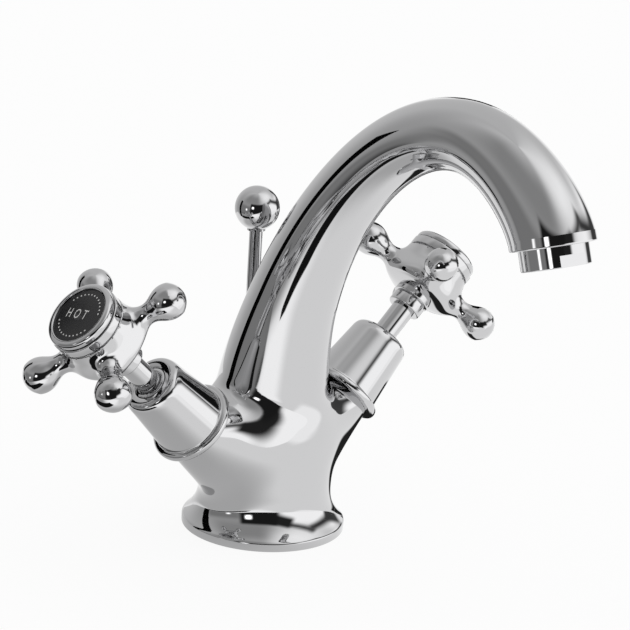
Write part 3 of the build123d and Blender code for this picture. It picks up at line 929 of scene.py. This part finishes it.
# %% World
room_level = 0.62
plain_white = 1.0
half_turn = 180
world = bpy.data.worlds.new("studio")
world.use_nodes = True
bpy.context.scene.world = world
tree = world.node_tree
tree.nodes.clear()
look = add(tree, "ShaderNodeTexCoord")
ray = add(tree, "ShaderNodeSeparateXYZ", {0: look.outputs["Generated"]})
forward = add(tree, "ShaderNodeMath", {0: ray.outputs["Y"], 1: -1.0}, operation="MULTIPLY")
azimuth = add(tree, "ShaderNodeMath", {0: ray.outputs["X"], 1: forward.outputs[0]}, operation="ARCTAN2")
elevation = add(tree, "ShaderNodeMath", {0: ray.outputs["Z"]}, operation="ARCSINE")
angles = add(tree, "ShaderNodeCombineXYZ", {"X": azimuth.outputs[0], "Y": elevation.outputs[0]})
degrees = float(np.degrees(1))
where = add(tree, "ShaderNodeVectorMath", {0: angles.outputs[0], "Scale": degrees}, operation="SCALE")
light = add(tree, "ShaderNodeValue").outputs[0]
light.default_value = room_level
for card in far_cards:
    light = hang(tree, light, where.outputs[0], card, half_turn)
path = add(tree, "ShaderNodeLightPath")
seen = add(tree, "ShaderNodeMix", {0: path.outputs["Is Camera Ray"], 2: light, 3: plain_white})
backdrop = add(tree, "ShaderNodeBackground", {"Strength": seen.outputs[0]})
add(tree, "ShaderNodeOutputWorld", {"Surface": backdrop.outputs[0]})
print("world of", len(tree.nodes), "nodes")

# %% [markdown]
# ## The floor
#
# The tap stands on a white table, plain and pale to the camera, with the tap's own soft shadow on it.
# The chrome sees the table as the lamps leave it: bright in front, dull at the left behind, ending where
# the dark room starts, with a black strip laid at the left and a dark band painted on it at the right.
# Photographers lay such strips beside chrome, because the black line that they draw in it is what shows
# its shape. Near things shift from one curve to the next, so they lie on the floor as cards in
# millimetres, and are not part of the far world.

# %% Near cards, by x and y in millimetres
near_cards = (
    Card("bright front", 440, -560, 740, 740, 80, 1.42),
    Card("bright left front", -175, -155, 150, 200, 70, 1.5),
    Card("dull left behind", -260, 190, 260, 420, 60, 0.45),
    Card("shade beside the foot", -62, 20, 110, 150, 70, 0.62),
    Card("black strip at the left", -142, 28, 54, 204, 4, 0.01),
    # The table is painted dark in a band at the right of the tap, which only the chrome sees.
    Card("dark band at the right", 98, 18, 96, 40, 6, 0.02),
)
table = Card("table", 230, -120, 960, 900, 14, 1.0)
print(len(near_cards), "near cards on a table of", table.width, "by", table.height, "mm")

# %% Floor
floor_half = 4.0
corners = np.array([(-1, -1, 0), (1, -1, 0), (1, 1, 0), (-1, 1, 0)], float) * floor_half
sheet = bpy.data.meshes.new("floor")
sheet.from_pydata(corners.tolist(), [], [(0, 1, 2, 3)])
floor = bpy.data.objects.new("floor", sheet)
bpy.context.scene.collection.objects.link(floor)
print("floor", 2 * floor_half, "m wide")

# %% White table
# A painted board: matt and pale, so the eye sees nothing on it but the tap's soft shadow.
# The cards are no directions, so they are wrapped only beyond the floor's edge.
table_level = 1.08
table_white = 1.03
shadow_share = 0.12
no_wrap = 9000
material, tree = new_material("white_table")
place = add(tree, "ShaderNodeTexCoord")
spot = add(tree, "ShaderNodeVectorMath", {0: place.outputs["Object"], "Scale": 1 / mm}, operation="SCALE")
light = add(tree, "ShaderNodeValue").outputs[0]
light.default_value = table_level
for card in near_cards:
    light = hang(tree, light, spot.outputs[0], card, no_wrap)
nothing = add(tree, "ShaderNodeValue").outputs[0]
on_table = hang(tree, nothing, spot.outputs[0], table, no_wrap)
path = add(tree, "ShaderNodeLightPath")
paint = add(tree, "ShaderNodeBsdfDiffuse", {"Color": linear("#F2F2F2")})
white = add(tree, "ShaderNodeEmission", {"Strength": table_white})
shown = add(tree, "ShaderNodeMixShader", {0: shadow_share, 1: white.outputs[0], 2: paint.outputs[0]})
to_eye = add(tree, "ShaderNodeMixShader", {0: path.outputs["Is Camera Ray"], 1: paint.outputs[0],
                                           2: shown.outputs[0]})
glow = add(tree, "ShaderNodeEmission", {"Strength": light})
clear = add(tree, "ShaderNodeBsdfTransparent")
to_metal = add(tree, "ShaderNodeMixShader", {0: on_table, 1: clear.outputs[0], 2: glow.outputs[0]})
mirrored = add(tree, "ShaderNodeMath", {0: path.outputs["Is Glossy Ray"],
                                        1: path.outputs["Is Transmission Ray"]}, operation="MAXIMUM")
skin = add(tree, "ShaderNodeMixShader", {0: mirrored.outputs[0], 1: to_eye.outputs[0],
                                         2: to_metal.outputs[0]})
add(tree, "ShaderNodeOutputMaterial", {"Surface": skin.outputs[0]})
sheet.materials.append(material)
print("table of", len(tree.nodes), "nodes")

# %% [markdown]
# ## Black cards on their edge
#
# Behind the black strip and the dark band narrow black cards stand upright, one at each side. The camera
# doesn't see them, but the spout, the knob and the bells do: the left one as a black line along their left
# side, the right one as the thin dark edge at their right, which keeps white metal apart from a white room.

# %% Standing cards
# Flocked card: a nap of short fibres that swallows nearly all light, so it draws black lines in chrome.
black_flock, tree = new_material("black_flock")
flock = add(tree, "ShaderNodeBsdfDiffuse", {"Color": linear("#0A0A0A")})
add(tree, "ShaderNodeOutputMaterial", {"Surface": flock.outputs[0]})


def standing_card(name, middle, half_width, height):
    """A black upright rectangle that faces the tap, from the middle of its foot, in millimetres."""
    middle = np.array(middle) * mm
    facing = -middle / np.linalg.norm(middle)
    aside = np.array([-facing[1], facing[0]]) * half_width * mm
    corners = np.zeros((4, 3))
    corners[:, :2] = np.array([middle - aside, middle + aside])[[0, 1, 1, 0]]
    corners[2:, 2] = height * mm
    sheet = bpy.data.meshes.new(name)
    sheet.from_pydata(corners.tolist(), [], [(0, 1, 2, 3)])
    sheet.materials.append(black_flock)
    card = bpy.data.objects.new(name, sheet)
    bpy.context.scene.collection.objects.link(card)
    card.visible_camera = False
    card.visible_diffuse = False
    card.visible_shadow = False
    return card


for card in (standing_card("left_black_card", middle=(-128, 142), half_width=21, height=190),
             standing_card("right_black_card", middle=(190, 88), half_width=26, height=230)):
    print(card.name, "stands", round(card.data.vertices[-1].co.z / mm), "mm high")

# %% [markdown]
# ## Finish
#
# Colours are shown as they are, without a film look.

# %% Finish
bpy.context.scene.view_settings.view_transform = "Standard"
